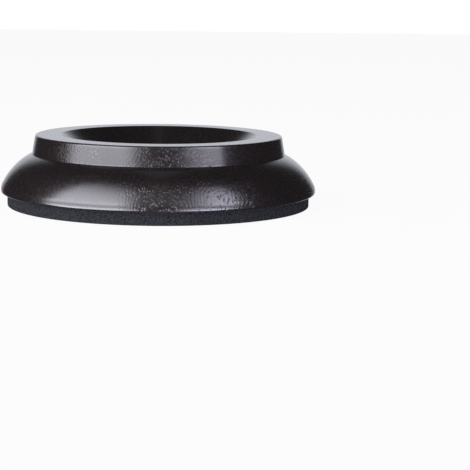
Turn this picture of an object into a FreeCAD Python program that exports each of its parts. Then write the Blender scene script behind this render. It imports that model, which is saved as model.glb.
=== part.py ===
import FreeCAD, Part
import math
import os
import Sketcher

# Castor cup: a turned and lacquered wooden cup that a castor stands in,
# with a foam pad glued under it. Millimetres, +Z up, and the origin is the
# centre of the pad's underside, where the cup meets the floor.

# Driving sizes: name, value, what it measures
SIZES = (
    ("outer_diameter", 135.0, "widest point of the turned bead"),
    ("wood_height", 24.4, "underside of the wood to the rim"),
    ("foot_round", 0.9, "rounding between the underside and the bead"),
    ("bead_edge_radius", 6.2, "tight lower arc of the bead"),
    ("bead_crown_radius", 28.0, "flatter upper arc of the bead"),
    ("shoulder_height", 16.2, "underside of the wood to the foot of the collar"),
    ("rim_diameter", 105.6, "collar at the rim"),
    ("collar_flare", 1.4, "how much further out the collar's foot stands"),
    ("rim_round", 1.0, "rounding of the rim's outer edge"),
    ("mouth_diameter", 84.0, "recess for the castor, at the rim"),
    ("floor_diameter", 51.0, "recess for the castor, at its floor"),
    ("recess_depth", 14.0, "rim to the recess floor"),
    ("recess_cove", 4.0, "cove between the sloping wall and the floor"),
    ("mouth_bevel", 0.4, "broken edge of the recess mouth"),
    ("pad_thickness", 5.6, "foam sheet"),
    ("pad_inset", 2.7, "how far the pad stays inside the bead"),
    ("pad_bevel", 0.6, "lower edge of the pad, left by the cutting die"),
)

# A sketch's own numbers for its origin and upright axis, and for a curve's points
V_AXIS, ORIGIN = range(-2, 0)
START, END, CENTRE = range(1, 4)


# Sheet and drawing helpers

def make_sheet(doc):
    sheet = doc.addObject("Spreadsheet::Sheet", "sizes")
    for row, (alias, value, note) in enumerate(SIZES, start=1):
        sheet.set("A%d" % row, alias)
        sheet.set("B%d" % row, str(value))
        sheet.setAlias("B%d" % row, alias)
        sheet.set("C%d" % row, note)
    doc.recompute()
    return sheet


def new_sketch(body, name, role):
    planes = [item for item in body.Origin.OriginFeatures if item.Role == role]
    sketch = body.newObject("Sketcher::SketchObject", name)
    sketch.AttachmentSupport = [(planes[0], "")]
    sketch.MapMode = "FlatFace"
    return sketch


def point(x, z):
    return FreeCAD.Vector(x, z, 0)


def add_line(sketch, start, end):
    return sketch.addGeometry(Part.LineSegment(start, end), False)


def add_arc(sketch, centre, radius, start_angle, end_angle):
    circle = Part.Circle(centre, FreeCAD.Vector(0, 0, 1), radius)
    return sketch.addGeometry(Part.ArcOfCircle(circle, start_angle, end_angle), False)


def join(sketch, first, second, kind="Coincident"):
    # The end of the first curve meets the start of the second
    sketch.addConstraint(Sketcher.Constraint(kind, first, END, second, START))


def size(sketch, label, formula, kind, *where):
    # A dimension that follows the sheet, drawn at the value it has now
    value = sketch.evalExpression(formula)
    index = sketch.addConstraint(Sketcher.Constraint(kind, *where, float(value)))
    sketch.renameConstraint(index, label)
    sketch.setExpression("Constraints." + label, formula)


def ring_edge(shape, radius, height):
    # Name of the round edge about the axis that lies at this radius and height
    def miss(edge):
        return abs(edge.Curve.Radius - radius) + abs(edge.Curve.Center.z - height)

    rings = [edge for edge in shape.Edges if isinstance(edge.Curve, Part.Circle)]
    nearest = min(rings, key=miss)
    number = [edge.isSame(nearest) for edge in shape.Edges].index(True) + 1
    return "Edge%d" % number


def ease_edge(body, kind, name, base, edge, formula):
    # A fillet or a chamfer along one round edge
    feature = body.newObject("PartDesign::" + kind, name)
    feature.Base = (base, [edge])
    feature.setExpression("Radius" if kind == "Fillet" else "Size", formula)
    return feature


# Turned wooden cup

def crown_centre(edge_centre, edge_radius, shoulder, crown_radius):
    # The crown arc ends on the shoulder and runs smoothly into the edge arc,
    # so its centre is crown_radius from one and the radii's difference from
    # the other; of the two such points it is the one nearer the axis.
    across = shoulder - edge_centre
    distance = across.Length
    inner = crown_radius - edge_radius
    along = (inner ** 2 - crown_radius ** 2 + distance ** 2) / (2 * distance)
    aside = math.sqrt(inner ** 2 - along ** 2)
    unit = across / distance
    left = point(-unit.y, unit.x)
    return edge_centre + unit * along + left * aside


def draw_cup_profile(sketch, sheet):
    # Half section of the solid turning, from its axis out to the bead
    outer = sheet.outer_diameter / 2
    foot = sheet.foot_round
    edge_radius = sheet.bead_edge_radius
    crown_radius = sheet.bead_crown_radius
    rim = point(sheet.rim_diameter / 2, sheet.wood_height)
    shoulder = point(rim.x + sheet.collar_flare, sheet.shoulder_height)

    foot_centre = point(outer - foot, foot)
    edge_centre = point(outer - edge_radius, foot)
    crown = crown_centre(edge_centre, edge_radius, shoulder, crown_radius)
    meet_angle = math.atan2(edge_centre.y - crown.y, edge_centre.x - crown.x)
    shoulder_angle = math.atan2(shoulder.y - crown.y, shoulder.x - crown.x)

    underside = add_line(sketch, point(0, 0), point(foot_centre.x, 0))
    foot_arc = add_arc(sketch, foot_centre, foot, -math.pi / 2, 0)
    edge_arc = add_arc(sketch, edge_centre, edge_radius, 0, meet_angle)
    crown_arc = add_arc(sketch, crown, crown_radius, meet_angle, shoulder_angle)
    collar = add_line(sketch, shoulder, rim)
    top = add_line(sketch, rim, point(0, rim.y))
    axis = add_line(sketch, point(0, rim.y), point(0, 0))

    sketch.addConstraint(Sketcher.Constraint("Coincident", underside, START, ORIGIN, START))
    join(sketch, underside, foot_arc, "Tangent")
    join(sketch, foot_arc, edge_arc, "Tangent")
    join(sketch, edge_arc, crown_arc, "Tangent")
    join(sketch, crown_arc, collar)
    join(sketch, collar, top)
    join(sketch, top, axis)
    join(sketch, axis, underside)
    sketch.addConstraint(Sketcher.Constraint("Horizontal", underside))
    sketch.addConstraint(Sketcher.Constraint("Horizontal", top))
    sketch.addConstraint(Sketcher.Constraint("Vertical", axis))
    sketch.addConstraint(Sketcher.Constraint("Horizontal", foot_arc, CENTRE, foot_arc, END))

    size(sketch, "foot_round", "sizes.foot_round", "Radius", foot_arc)
    size(sketch, "bead_edge", "sizes.bead_edge_radius", "Radius", edge_arc)
    size(sketch, "bead_crown", "sizes.bead_crown_radius", "Radius", crown_arc)
    size(sketch, "outer_radius", "sizes.outer_diameter / 2", "DistanceX", ORIGIN, START, foot_arc, END)
    size(sketch, "rim_radius", "sizes.rim_diameter / 2", "DistanceX", ORIGIN, START, collar, END)
    size(sketch, "rim_height", "sizes.wood_height", "DistanceY", ORIGIN, START, collar, END)
    size(sketch, "shoulder_radius", "sizes.rim_diameter / 2 + sizes.collar_flare",
         "DistanceX", ORIGIN, START, collar, START)
    size(sketch, "shoulder_height", "sizes.shoulder_height", "DistanceY", ORIGIN, START, collar, START)


def draw_recess_profile(sketch, sheet):
    # Half section of the dished recess: a flat floor and a wall that slopes
    # up to the mouth at about 40 degrees, so a wheel settles in the middle
    rim_height = sheet.wood_height
    floor_height = rim_height - sheet.recess_depth
    floor_edge = point(sheet.floor_diameter / 2, floor_height)
    mouth_edge = point(sheet.mouth_diameter / 2, rim_height)

    floor = add_line(sketch, point(0, floor_height), floor_edge)
    wall = add_line(sketch, floor_edge, mouth_edge)
    mouth = add_line(sketch, mouth_edge, point(0, rim_height))
    axis = add_line(sketch, point(0, rim_height), point(0, floor_height))

    join(sketch, floor, wall)
    join(sketch, wall, mouth)
    join(sketch, mouth, axis)
    join(sketch, axis, floor)
    sketch.addConstraint(Sketcher.Constraint("PointOnObject", floor, START, V_AXIS))
    sketch.addConstraint(Sketcher.Constraint("Horizontal", floor))
    sketch.addConstraint(Sketcher.Constraint("Horizontal", mouth))
    sketch.addConstraint(Sketcher.Constraint("Vertical", axis))

    size(sketch, "floor_radius", "sizes.floor_diameter / 2", "DistanceX", ORIGIN, START, floor, END)
    size(sketch, "mouth_radius", "sizes.mouth_diameter / 2", "DistanceX", ORIGIN, START, wall, END)
    size(sketch, "rim_height", "sizes.wood_height", "DistanceY", ORIGIN, START, wall, END)
    size(sketch, "depth", "sizes.recess_depth", "DistanceY", axis, END, axis, START)


def make_wooden_cup(doc, sheet):
    body = doc.addObject("PartDesign::Body", "wooden_cup")
    body.Label = "wooden_cup"
    body.setExpression("Placement.Base.z", "sizes.pad_thickness")

    profile = new_sketch(body, "cup_profile", "XZ_Plane")
    draw_cup_profile(profile, sheet)
    turning = body.newObject("PartDesign::Revolution", "turned_blank")
    turning.Profile = profile
    turning.ReferenceAxis = (profile, ["V_Axis"])
    turning.Angle = 360
    doc.recompute()
    blank_volume = turning.Shape.Volume

    recess_profile = new_sketch(body, "recess_profile", "XZ_Plane")
    draw_recess_profile(recess_profile, sheet)
    recess = body.newObject("PartDesign::Groove", "castor_recess")
    recess.Profile = recess_profile
    recess.ReferenceAxis = (recess_profile, ["V_Axis"])
    recess.Angle = 360
    doc.recompute()
    if recess.Shape.Volume > blank_volume - 1:
        raise RuntimeError("the recess cut nothing from the turned blank")

    floor_height = sheet.wood_height - sheet.recess_depth
    floor_edge = ring_edge(recess.Shape, sheet.floor_diameter / 2, floor_height)
    cove = ease_edge(body, "Fillet", "recess_cove", recess, floor_edge, "sizes.recess_cove")
    doc.recompute()
    rim_edge = ring_edge(cove.Shape, sheet.rim_diameter / 2, sheet.wood_height)
    rim = ease_edge(body, "Fillet", "rim_rounding", cove, rim_edge, "sizes.rim_round")
    doc.recompute()
    mouth_edge = ring_edge(rim.Shape, sheet.mouth_diameter / 2, sheet.wood_height)
    body.Tip = ease_edge(body, "Chamfer", "mouth_edge", rim, mouth_edge, "sizes.mouth_bevel")
    doc.recompute()
    return body


# Foam pad under the cup

def make_base_pad(doc, sheet):
    body = doc.addObject("PartDesign::Body", "base_pad")
    body.Label = "base_pad"

    outline = new_sketch(body, "pad_outline", "XY_Plane")
    radius = sheet.outer_diameter / 2 - sheet.pad_inset
    circle = outline.addGeometry(Part.Circle(point(0, 0), FreeCAD.Vector(0, 0, 1), radius), False)
    outline.addConstraint(Sketcher.Constraint("Coincident", circle, CENTRE, ORIGIN, START))
    size(outline, "pad_radius", "sizes.outer_diameter / 2 - sizes.pad_inset", "Radius", circle)

    disc = body.newObject("PartDesign::Pad", "foam_disc")
    disc.Profile = outline
    disc.setExpression("Length", "sizes.pad_thickness")
    doc.recompute()

    lower_edge = ring_edge(disc.Shape, radius, 0)
    body.Tip = ease_edge(body, "Chamfer", "pad_edge", disc, lower_edge, "sizes.pad_bevel")
    doc.recompute()
    return body


# Build, check and write

def check(doc, bodies):
    for item in doc.Objects:
        if "Invalid" in item.State or "Error" in item.State:
            raise RuntimeError("%s did not build: %s" % (item.Name, item.State))
    for body in bodies:
        if body.Shape.isNull() or not body.Shape.isValid():
            raise RuntimeError("%s has no valid shape" % body.Label)
        if len(body.Shape.Solids) != 1:
            raise RuntimeError("%s is not one solid" % body.Label)


def main():
    doc = FreeCAD.newDocument("castor_cup")
    sheet = make_sheet(doc)
    bodies = [make_base_pad(doc, sheet), make_wooden_cup(doc, sheet)]
    doc.recompute()
    check(doc, bodies)

    os.makedirs("parts", exist_ok=True)
    for body in bodies:
        body.Shape.exportStep("parts/%s.step" % body.Label)
        box = body.Shape.optimalBoundingBox()
        volume = body.Shape.Volume / 1000
        print("%s: %.1f cubic cm, z %.2f to %.2f" % (body.Label, volume, box.ZMin, box.ZMax))


main()
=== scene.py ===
import math
import bmesh
import bpy
from mathutils import Matrix, Quaternion, Vector, noise


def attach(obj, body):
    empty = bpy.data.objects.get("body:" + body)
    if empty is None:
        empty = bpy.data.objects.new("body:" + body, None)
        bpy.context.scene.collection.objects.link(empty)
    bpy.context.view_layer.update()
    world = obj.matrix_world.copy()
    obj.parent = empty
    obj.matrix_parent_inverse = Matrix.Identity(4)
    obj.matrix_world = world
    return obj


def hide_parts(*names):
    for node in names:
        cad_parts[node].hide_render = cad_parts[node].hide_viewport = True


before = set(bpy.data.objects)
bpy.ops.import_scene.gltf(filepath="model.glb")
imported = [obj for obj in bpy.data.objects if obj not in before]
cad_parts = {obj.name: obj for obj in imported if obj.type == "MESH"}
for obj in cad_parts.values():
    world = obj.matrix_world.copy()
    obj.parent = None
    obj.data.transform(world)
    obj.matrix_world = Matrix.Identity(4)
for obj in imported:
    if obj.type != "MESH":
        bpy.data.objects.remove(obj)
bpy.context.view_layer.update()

# Castor cup, dressed: a turned and lacquered wooden cup on a foam pad.
# Metres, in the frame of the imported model: +Z up, origin on the floor.

MM = 0.001

# The turned profile, in millimetres above the floor and from the axis
PAD_TOP = 5.6
PAD_RADIUS = 64.8
PAD_BEVEL = 0.3
OUTER = 67.5
FOOT = 0.9
EDGE_RADIUS = 6.2
EDGE_CENTRE = (OUTER - EDGE_RADIUS, PAD_TOP + FOOT)
CROWN_RADIUS = 28.0
SHOULDER = (54.2, 21.8)
RIM_RADIUS = 52.8
RIM_HEIGHT = 30.0
RIM_ROUND = 1.0
CORNER_ROUND = 0.5
MOUTH_RADIUS = 42.0
MOUTH_ROUND = 1.0
FLOOR_RADIUS = 25.5
FLOOR_HEIGHT = 16.0
COVE = 4.0
SEGMENTS = 640

# Unevenness of the surfaces: noise frequencies per millimetre, depths in millimetres
NEAR_AXIS = 1.0
LACQUER_SLOW = 0.11
LACQUER_SLOW_DEPTH = 0.030
LACQUER_SWELL = 0.31
LACQUER_SWELL_DEPTH = 0.012
LACQUER_SWELL_SHIFT = Vector((7.0, 0.0, 0.0))
LACQUER_START = 0.6
FOAM_WAVER = 0.16
FOAM_WAVER_DEPTH = 0.06
FOAM_CELLS = 1.3
FOAM_CELLS_DEPTH = 0.04
FOAM_EDGE_BAND = 1.0

# A band is a range of the input, with the two results at its ends where it has
# four numbers

# Wood and lacquer: lengths in metres, texture scales per metre
BEND_SCALE = 45.0
BEND_LENGTH = 0.016
PITH_SHIFT = (-0.027, 0.0, -0.006)
RING_SCALE = 230.0
VESSEL_STRETCH = (1.0, 0.07, 1.0)
PORE_SCALE = 1100.0
PATCH_SCALE = 42.0
PEEL_SCALE = 700.0
PATCH_MIDDLE = -0.004
PATCH_FALL_LEFT = -4.5
PATCH_FALL_RIGHT = 3.1
PATCH_LIFT = 0.08
PORE_BAND = (0.14, 0.36, 1.0, 0.0)
OPEN_BAND = (0.42, 0.58)
STEEP_BAND = (0.50, 0.80, 1.0, 0.12)
COLLAR_BAND = (0.021, 0.024, 1.0, 0.5)
RIDGE_BAND = (0.42, 0.64, 0.03, 0.14)
ROUGHNESS_BAND = (0.3, 0.7, 0.22, 0.32)
EARLY_WOOD = (0.0082, 0.0050, 0.0050, 1)
LATE_WOOD = (0.0112, 0.0068, 0.0066, 1)
# Pores: the stain they take, darkened further as painted shade in the pits
PORE_STAIN_AND_SHADE = (0.004, 0.0035, 0.0035, 1)
PORE_STAIN_AND_SHADE_SHARE = 0.7
LACQUER_IOR = 1.72
COAT_ROUGHNESS = 0.16
PEEL_HEIGHT = 0.02
PORE_DEPTH = 0.00008

# Foam
CELL_SCALE = 2300.0
CLUMP_SCALE = 1900.0
CLUMP_BAND = (0.36, 0.66)
FOAM_ROUGHNESS_BAND = (0.1, 0.6, 0.80, 0.95)
FOAM_DARK = (0.008, 0.0092, 0.0104, 1)
FOAM_LIGHT = (0.049, 0.052, 0.057, 1)
FOAM_SPECULAR = 0.3
FOAM_BUMP = 0.8
FOAM_BUMP_DEPTH = 0.00045

# Floor and lamps, in metres
FLOOR_HALF = 3.0
FLOOR_COLOUR = (0.9, 0.9, 0.9, 1)
FLOOR_WHITE_SHARE = 0.94
LEFT_LAMP_COLOUR = (0.91, 0.90, 1.0)
RIGHT_LAMP_COLOUR = (0.845, 0.82, 1.0)
LAMP_DISTANCE = 1.2
LAMP_LOW = -1.1
LAMP_HIGH = 3.3
# Heights between which a lamp goes from its level below the floor to its
# dimmest, and from there to full
BENEATH_BAND = (-0.20, 0.15)
RISING_BAND = (0.15, 0.55)

# World. Back and front are cosines of the angle from straight back, seen from
# above; the fades run over the sine of the elevation
BACK_BAND = (0.87, 0.98)
BACK_FADE = (0.15, 0.68, 0.74, 0.12)
FRONT_BAND = (-0.6, -0.9)
FRONT_RISE = (0.2, 0.6, 0.07, 0.22)
FRONT_FALL = (0.8, 1.0, 1.0, 0.3)
FLAG_LEVEL = 0.026
SKY_COLOUR = (0.90, 0.93, 1.0, 1)
WHITE = (1.0, 1.0, 1.0, 1)

# Camera, from a fit to the photograph: angles in radians, focal length in pixels
CAMERA_PLACE = (0.00393, -0.650, 0.09004)
PITCH = 0.158
YAW = 0.045
ROLL = 0.013
FOCAL_PIXELS = 1514.2
PHOTO_PIXELS = 470
SENSOR_WIDTH = 36


# Profile helpers, in the plane of radius and height

def arc(centre, radius, start, end, count):
    step = (end - start) / count
    angles = [math.radians(start + step * i) for i in range(count + 1)]
    return [(centre[0] + radius * math.cos(a), centre[1] + radius * math.sin(a)) for a in angles]


def run(start, end, count):
    # Points between two ends, without the ends
    steps = [(i + 1) / (count + 1) for i in range(count)]
    across, up = end[0] - start[0], end[1] - start[1]
    return [(start[0] + across * t, start[1] + up * t) for t in steps]


def eased(before, corner, after, radius, count):
    # A corner between two straight runs, rounded to a radius
    here = Vector(corner)
    first = (Vector(before) - here).normalized()
    second = (Vector(after) - here).normalized()
    half = first.angle(second) / 2
    centre = here + (first + second).normalized() * (radius / math.sin(half))
    start = here + first * (radius / math.tan(half)) - centre
    end = here + second * (radius / math.tan(half)) - centre
    turn = start.angle_signed(end)
    points = []
    for i in range(count + 1):
        spun = Matrix.Rotation(-turn * i / count, 2) @ start
        points.append(tuple(centre + spun))
    return points


def crown_centre():
    # The crown arc passes through the shoulder and is tangent to the edge arc
    across = Vector(SHOULDER) - Vector(EDGE_CENTRE)
    inner = CROWN_RADIUS - EDGE_RADIUS
    distance = across.length
    along = (inner ** 2 - CROWN_RADIUS ** 2 + distance ** 2) / (2 * distance)
    aside = math.sqrt(inner ** 2 - along ** 2)
    unit = across / distance
    return Vector(EDGE_CENTRE) + unit * along + Vector((-unit.y, unit.x)) * aside


def cup_profile():
    # From the middle of the underside, round the outside, to the recess floor
    crown = crown_centre()
    meet = math.degrees(math.atan2(EDGE_CENTRE[1] - crown.y, EDGE_CENTRE[0] - crown.x))
    top = math.degrees(math.atan2(SHOULDER[1] - crown.y, SHOULDER[0] - crown.x))
    rim = (RIM_RADIUS, RIM_HEIGHT)
    mouth = (MOUTH_RADIUS, RIM_HEIGHT)
    floor_edge = (FLOOR_RADIUS, FLOOR_HEIGHT)
    floor_middle = (0.0, FLOOR_HEIGHT)
    crown_arc = arc(crown, CROWN_RADIUS, meet, top, count=44)
    inner_corner = eased(crown_arc[-4], SHOULDER, rim, CORNER_ROUND, count=5)
    rim_edge = eased(SHOULDER, rim, mouth, RIM_ROUND, count=8)
    mouth_edge = eased(rim, mouth, floor_edge, MOUTH_ROUND, count=6)
    cove = eased(mouth, floor_edge, floor_middle, COVE, count=8)
    points = run((0.0, PAD_TOP), (OUTER - FOOT, PAD_TOP), count=5)
    points += arc((OUTER - FOOT, PAD_TOP + FOOT), FOOT, -90, 0, count=8)
    points += arc(EDGE_CENTRE, EDGE_RADIUS, 0, meet, count=14)[1:]
    points += crown_arc[1:-1]
    points += inner_corner
    points += run(inner_corner[-1], rim_edge[0], count=14)
    points += rim_edge
    points += run(rim_edge[-1], mouth_edge[0], count=10)
    points += mouth_edge
    points += run(mouth_edge[-1], cove[0], count=16)
    points += cove
    points += run(cove[-1], floor_middle, count=8)
    return points, (0.0, PAD_TOP), floor_middle


def pad_profile():
    # From the middle of the underside, round the edge, to the middle of the top
    edge = (PAD_RADIUS, 0.0)
    top_edge = (PAD_RADIUS, PAD_TOP)
    points = run((0.0, 0.0), (PAD_RADIUS - PAD_BEVEL, 0.0), count=12)
    points += eased((0.0, 0.0), edge, top_edge, PAD_BEVEL, count=6)
    points += run((PAD_RADIUS, PAD_BEVEL), top_edge, count=16)
    points += [top_edge]
    points += run(top_edge, (0.0, PAD_TOP), count=6)
    return points, (0.0, 0.0), (0.0, PAD_TOP)


# Turned meshes

def turned(name, profile, move):
    # A profile turned about the axis, closed by a fan at each end; move shifts
    # each point, in millimetres
    points, first, last = profile
    mesh = bmesh.new()
    rings = []
    for radius, height in points:
        ring = []
        for i in range(SEGMENTS):
            angle = 2 * math.pi * i / SEGMENTS
            place = Vector((radius * math.cos(angle), radius * math.sin(angle), height))
            ring.append(mesh.verts.new(move(place) * MM))
        rings.append(ring)
    for below, above in zip(rings, rings[1:]):
        for i in range(SEGMENTS):
            j = (i + 1) % SEGMENTS
            mesh.faces.new((below[i], below[j], above[j], above[i]))
    for end, ring, flip in ((first, rings[0], True), (last, rings[-1], False)):
        middle = mesh.verts.new(Vector((0.0, 0.0, end[1])) * MM)
        for i in range(SEGMENTS):
            j = (i + 1) % SEGMENTS
            corner = (ring[j], ring[i], middle) if flip else (ring[i], ring[j], middle)
            mesh.faces.new(corner)
    for face in mesh.faces:
        face.smooth = True
    data = bpy.data.meshes.new(name)
    mesh.to_mesh(data)
    mesh.free()
    piece = bpy.data.objects.new(name, data)
    bpy.context.scene.collection.objects.link(piece)
    return piece


def lacquer_build_up(place):
    # Hand-sprayed lacquer is never quite even: a few hundredths of a millimetre,
    # taken off the surface so that the piece stays inside its solid
    out = Vector((place.x, place.y, 0.0))
    if out.length < NEAR_AXIS:
        return place
    slow = noise.noise(place * LACQUER_SLOW)
    swell = noise.noise(place * LACQUER_SWELL + LACQUER_SWELL_SHIFT)
    depth = LACQUER_SLOW_DEPTH * (1 + slow) + LACQUER_SWELL_DEPTH * (1 + swell)
    near_foot = min(1.0, max(0.0, (place.z - PAD_TOP) / LACQUER_START))
    return place - out.normalized() * depth * near_foot


def foam_cut(place):
    # The die leaves the edge of the foam slightly uneven
    out = Vector((place.x, place.y, 0.0))
    if out.length < PAD_RADIUS - FOAM_EDGE_BAND:
        return place
    waver = noise.noise(place * FOAM_WAVER)
    cells = noise.noise(place * FOAM_CELLS)
    return place - out.normalized() * (FOAM_WAVER_DEPTH * (1 + waver) + FOAM_CELLS_DEPTH * (1 + cells))


# Material helpers

class Nodes:
    def __init__(self, tree):
        self.tree = tree
        self.tree.nodes.clear()

    def add(self, kind, **settings):
        node = self.tree.nodes.new(kind)
        for name, value in settings.items():
            setattr(node, name, value)
        return node

    def link(self, output, target):
        self.tree.links.new(output, target)

    def put(self, target, value):
        # A socket is linked, a constant is set on the target itself
        if isinstance(value, bpy.types.NodeSocket):
            self.link(value, target)
        else:
            target.default_value = value

    def fill(self, node, values):
        for name, value in values.items():
            self.put(node.inputs[name], value)
        return node

    def math(self, operation, first, second=0.0):
        node = self.add("ShaderNodeMath", operation=operation)
        self.put(node.inputs[0], first)
        self.put(node.inputs[1], second)
        return node.outputs[0]

    def vector(self, operation, first, second):
        node = self.add("ShaderNodeVectorMath", operation=operation)
        self.put(node.inputs[0], first)
        self.put(node.inputs["Scale" if operation == "SCALE" else 1], second)
        return node.outputs[0]

    def split(self, vector):
        node = self.add("ShaderNodeSeparateXYZ")
        self.link(vector, node.inputs[0])
        return node.outputs

    def ramp(self, value, low, high, start=0.0, end=1.0):
        node = self.add("ShaderNodeMapRange", interpolation_type="SMOOTHSTEP")
        self.fill(node, {"Value": value, "From Min": low, "From Max": high})
        self.fill(node, {"To Min": start, "To Max": end})
        return node.outputs["Result"]

    def mix_colour(self, factor, first, second):
        node = self.add("ShaderNodeMix", data_type="RGBA")
        sockets = [item for item in node.inputs if item.type == "RGBA"]
        self.put(node.inputs[0], factor)
        self.put(sockets[0], first)
        self.put(sockets[1], second)
        return [item for item in node.outputs if item.type == "RGBA"][0]

    def noise(self, place, scale, detail):
        node = self.add("ShaderNodeTexNoise")
        return self.fill(node, {"Vector": place, "Scale": scale, "Detail": detail}).outputs

    def cells(self, place, scale):
        # Distance to the nearest of a scatter of points
        node = self.add("ShaderNodeTexVoronoi", feature="F1")
        return self.fill(node, {"Vector": place, "Scale": scale}).outputs["Distance"]

    def bump(self, height, strength, distance):
        node = self.add("ShaderNodeBump")
        self.fill(node, {"Height": height, "Strength": strength, "Distance": distance})
        return node.outputs["Normal"]

    def finish(self, kind, shader):
        self.link(shader, self.add(kind).inputs["Surface"])


def new_material(name):
    material = bpy.data.materials.new(name)
    material.use_nodes = True
    return material, Nodes(material.node_tree)


def lacquered_wood():
    material, nodes = new_material("lacquered_wood")
    place = nodes.add("ShaderNodeTexCoord").outputs["Object"]
    across, _, up = nodes.split(place)
    facing_up = nodes.split(nodes.add("ShaderNodeNewGeometry").outputs["Normal"])[2]

    # Growth layers: rings about a pith that runs along Y through the blank,
    # bent a little, so the front shows them end-on
    bend = nodes.noise(place, BEND_SCALE, detail=2.0)["Color"]
    shift = nodes.vector("SCALE", nodes.vector("SUBTRACT", bend, (0.5, 0.5, 0.5)), BEND_LENGTH)
    bent = nodes.vector("ADD", place, shift)
    pith = nodes.add("ShaderNodeMapping", vector_type="POINT")
    nodes.fill(pith, {"Vector": bent, "Location": PITH_SHIFT})
    wave = nodes.add("ShaderNodeTexWave", wave_type="RINGS", rings_direction="Y", wave_profile="SIN")
    nodes.fill(wave, {"Vector": pith.outputs["Vector"], "Scale": RING_SCALE})
    nodes.fill(wave, {"Distortion": 3.0, "Detail": 2.0, "Detail Scale": 1.5})
    rings = wave.outputs["Fac"]

    # Open pores: long vessels along Y, dots end-on and dashes from the side
    vessels = nodes.add("ShaderNodeMapping", vector_type="POINT")
    nodes.fill(vessels, {"Vector": bent, "Scale": VESSEL_STRETCH})
    pores = nodes.cells(vessels.outputs["Vector"], PORE_SCALE)
    dot = nodes.ramp(pores, *PORE_BAND)

    # Orange peel of the spray
    peel = nodes.noise(place, PEEL_SCALE, detail=3.0)["Fac"]

    # Where the lacquer left the pores open: in patches, mostly near the middle
    patches = nodes.noise(place, PATCH_SCALE, detail=1.0)["Fac"]
    beside = nodes.math("ADD", across, -PATCH_MIDDLE)
    to_left = nodes.math("MULTIPLY", beside, PATCH_FALL_LEFT)
    to_right = nodes.math("MULTIPLY", beside, PATCH_FALL_RIGHT)
    lifted = nodes.math("ADD", patches, PATCH_LIFT)
    leaning = nodes.math("SUBTRACT", lifted, nodes.math("MAXIMUM", to_left, to_right))
    # Wet lacquer levels out where the surface faces up, and fills the pores there
    steep = nodes.ramp(facing_up, *STEEP_BAND)
    open_here = nodes.math("MULTIPLY", nodes.ramp(leaning, *OPEN_BAND), steep)
    # The collar took more lacquer than the bead, so its pores are shallower
    open_here = nodes.math("MULTIPLY", open_here, nodes.ramp(up, *COLLAR_BAND))
    pit = nodes.math("MULTIPLY", dot, open_here)

    # Stain: it varies with the growth layers. The pores are darker, partly from the stain they take and
    # partly as painted shade in the pits
    stain = nodes.mix_colour(rings, EARLY_WOOD, LATE_WOOD)
    pit_stain_and_shade = nodes.math("MULTIPLY", pit, PORE_STAIN_AND_SHADE_SHARE)
    colour = nodes.mix_colour(pit_stain_and_shade, stain, PORE_STAIN_AND_SHADE)

    # Height of the lacquer: it sinks into the pores and along the growth layers
    ridge = nodes.math("MULTIPLY", rings, nodes.ramp(leaning, *RIDGE_BAND))
    ridge = nodes.math("MULTIPLY", ridge, steep)
    skin = nodes.math("MULTIPLY", peel, PEEL_HEIGHT)
    height = nodes.math("SUBTRACT", nodes.math("ADD", ridge, skin), pit)
    normal = nodes.bump(height, 1.0, PORE_DEPTH)

    surface = nodes.add("ShaderNodeBsdfPrincipled")
    nodes.fill(surface, {
        "Base Color": colour,
        "Roughness": nodes.ramp(peel, *ROUGHNESS_BAND),
        "IOR": LACQUER_IOR,
        "Normal": normal,
        "Coat Weight": 1.0,
        "Coat Roughness": COAT_ROUGHNESS,
        "Coat IOR": LACQUER_IOR,
        "Coat Normal": normal,
    })
    nodes.finish("ShaderNodeOutputMaterial", surface.outputs["BSDF"])
    return material


def charcoal_foam():
    material, nodes = new_material("foam")
    place = nodes.add("ShaderNodeTexCoord").outputs["Object"]
    cells = nodes.cells(place, CELL_SCALE)
    clumps = nodes.noise(place, CLUMP_SCALE, detail=3.0)["Fac"]
    surface = nodes.add("ShaderNodeBsdfPrincipled")
    nodes.fill(surface, {
        "Base Color": nodes.mix_colour(nodes.ramp(clumps, *CLUMP_BAND), FOAM_DARK, FOAM_LIGHT),
        "Roughness": nodes.ramp(cells, *FOAM_ROUGHNESS_BAND),
        "Specular IOR Level": FOAM_SPECULAR,
        "Normal": nodes.bump(nodes.math("ADD", cells, clumps), FOAM_BUMP, FOAM_BUMP_DEPTH),
    })
    nodes.finish("ShaderNodeOutputMaterial", surface.outputs["BSDF"])
    return material


# The two pieces

cup = turned("cup_wood", cup_profile(), lacquer_build_up)
cup.data.materials.append(lacquered_wood())
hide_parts("wooden_cup")
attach(cup, "root")

pad = turned("cup_pad", pad_profile(), foam_cut)
pad.data.materials.append(charcoal_foam())
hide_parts("base_pad")
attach(pad, "root")


# Floor and light

def pale_floor():
    # Nearly white to the camera, but for the object's own shadow
    half = FLOOR_HALF
    corners = [(-half, -half, 0), (half, -half, 0), (half, half, 0), (-half, half, 0)]
    data = bpy.data.meshes.new("floor")
    data.from_pydata(corners, [], [(0, 1, 2, 3)])
    floor = bpy.data.objects.new("floor", data)
    bpy.context.scene.collection.objects.link(floor)
    material, nodes = new_material("floor")
    matt = nodes.add("ShaderNodeBsdfDiffuse")
    nodes.fill(matt, {"Color": FLOOR_COLOUR})
    white = nodes.add("ShaderNodeEmission")
    nodes.fill(white, {"Strength": 1.0})
    seen = nodes.add("ShaderNodeLightPath").outputs["Is Camera Ray"]
    blend = nodes.add("ShaderNodeMixShader")
    nodes.put(blend.inputs[0], nodes.math("MULTIPLY", seen, FLOOR_WHITE_SHARE))
    nodes.put(blend.inputs[1], matt.outputs[0])
    nodes.put(blend.inputs[2], white.outputs[0])
    nodes.finish("ShaderNodeOutputMaterial", blend.outputs[0])
    floor.data.materials.append(material)
    # The lacquer mirrors the softboxes down past the floor, as it does where
    # the cup sits up on a stack
    floor.visible_glossy = False
    floor.visible_shadow = False


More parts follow.
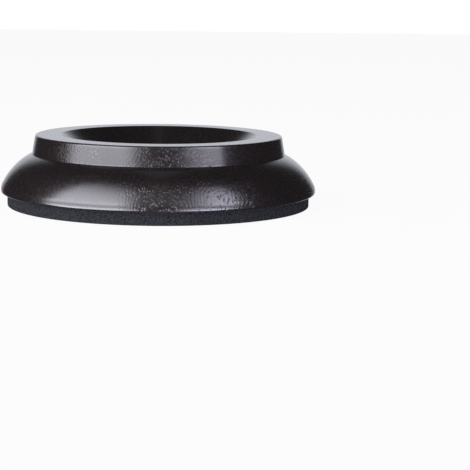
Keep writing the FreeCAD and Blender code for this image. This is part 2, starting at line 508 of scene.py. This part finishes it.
def softbox(name, colour, azimuth, width, lean, radiance, soft_sides, soft_top, dimmest, beneath):
    # A standing softbox that faces the axis, with edges that fade. Azimuth 0 is
    # the camera's side, and lean turns the box in its own plane, both in degrees.
    # soft_sides and soft_top are the shares over which it fades at its left and
    # right and at its top. dimmest and beneath are its level just above the
    # floor and below it, against 1 higher up.
    height = LAMP_HIGH - LAMP_LOW
    lamp = bpy.data.lights.new(name, "AREA")
    lamp.shape = "RECTANGLE"
    lamp.size = width
    lamp.size_y = height
    lamp.energy = radiance * math.pi * width * height
    lamp.color = colour
    lamp.use_nodes = True
    nodes = Nodes(lamp.node_tree)
    side, rise, _ = nodes.split(nodes.add("ShaderNodeNewGeometry").outputs["Parametric"])
    left = nodes.ramp(side, 0.0, soft_sides[0])
    right = nodes.ramp(side, 1.0 - soft_sides[1], 1.0, 1.0, 0.0)
    top = nodes.ramp(rise, 1.0 - soft_top, 1.0, 1.0, 0.0)
    rising = [(level - LAMP_LOW) / height for level in RISING_BAND]
    sinking = [(level - LAMP_LOW) / height for level in BENEATH_BAND]
    above_floor = nodes.ramp(rise, *rising, dimmest, 1.0)
    below_floor = nodes.ramp(rise, *sinking, beneath, dimmest)
    foot = nodes.math("MAXIMUM", above_floor, below_floor)
    across = nodes.math("MULTIPLY", left, right)
    glow = nodes.add("ShaderNodeEmission")
    nodes.put(glow.inputs["Strength"], nodes.math("MULTIPLY", across, nodes.math("MULTIPLY", top, foot)))
    nodes.finish("ShaderNodeOutputLight", glow.outputs[0])
    box = bpy.data.objects.new(name, lamp)
    bpy.context.scene.collection.objects.link(box)
    angle = math.radians(azimuth)
    box.location = (
        LAMP_DISTANCE * math.sin(angle),
        -LAMP_DISTANCE * math.cos(angle),
        LAMP_LOW + height / 2,
    )
    towards = Vector((-box.location.x, -box.location.y, 0))
    leaning = Quaternion((0, 0, 1), -math.radians(lean))
    box.rotation_euler = (towards.to_track_quat("-Z", "Y") @ leaning).to_euler()
    box.visible_camera = False


def studio_world():
    # A pale backdrop behind the object and a dim one in front, dark flags at
    # the sides, and white to the camera
    world = bpy.data.worlds.new("studio")
    world.use_nodes = True
    bpy.context.scene.world = world
    nodes = Nodes(world.node_tree)
    _, along, up = nodes.split(nodes.add("ShaderNodeTexCoord").outputs["Generated"])
    # Along the floor, how much of the direction points straight back
    flat = nodes.math("SQRT", nodes.math("SUBTRACT", 1.0, nodes.math("MULTIPLY", up, up)))
    back = nodes.math("DIVIDE", along, nodes.math("MAXIMUM", flat, 0.001))
    behind = nodes.ramp(back, *BACK_BAND)
    front = nodes.ramp(back, *FRONT_BAND)
    front_level = nodes.math("MULTIPLY", nodes.ramp(up, *FRONT_RISE), nodes.ramp(up, *FRONT_FALL))
    strength = nodes.math("MULTIPLY", behind, nodes.ramp(up, *BACK_FADE))
    strength = nodes.math("MAXIMUM", strength, nodes.math("MULTIPLY", front, front_level))
    strength = nodes.math("MAXIMUM", strength, FLAG_LEVEL)
    seen = nodes.add("ShaderNodeLightPath").outputs["Is Camera Ray"]
    sky = nodes.add("ShaderNodeBackground")
    nodes.put(sky.inputs["Color"], nodes.mix_colour(seen, SKY_COLOUR, WHITE))
    nodes.put(sky.inputs["Strength"], nodes.math("MAXIMUM", strength, seen))
    nodes.finish("ShaderNodeOutputWorld", sky.outputs[0])


pale_floor()
softbox(
    "softbox_left", LEFT_LAMP_COLOUR, azimuth=-54.5, width=1.90, lean=-5, radiance=4.20,
    soft_sides=(0.19, 0.26), soft_top=0.78, dimmest=0.42, beneath=1.15)
softbox(
    "softbox_right", RIGHT_LAMP_COLOUR, azimuth=43.4, width=1.04, lean=13, radiance=3.32,
    soft_sides=(0.70, 0.04), soft_top=0.64, dimmest=0.18, beneath=1.60)
studio_world()


# Camera, at the photograph's viewing angle

def add_camera():
    ahead = Vector((math.sin(YAW) * math.cos(PITCH), math.cos(YAW) * math.cos(PITCH), -math.sin(PITCH)))
    level = Vector((math.cos(YAW), -math.sin(YAW), 0))
    upright = level.cross(ahead)
    right = level * math.cos(ROLL) + upright * math.sin(ROLL)
    top = upright * math.cos(ROLL) - level * math.sin(ROLL)
    data = bpy.data.cameras.new("camera")
    data.lens = SENSOR_WIDTH * FOCAL_PIXELS / PHOTO_PIXELS
    data.sensor_width = SENSOR_WIDTH
    camera = bpy.data.objects.new("camera", data)
    bpy.context.scene.collection.objects.link(camera)
    turn = Matrix((right, top, -ahead)).transposed().to_4x4()
    camera.matrix_world = Matrix.Translation(CAMERA_PLACE) @ turn
    bpy.context.scene.camera = camera


add_camera()
bpy.context.scene.view_settings.view_transform = "Standard"
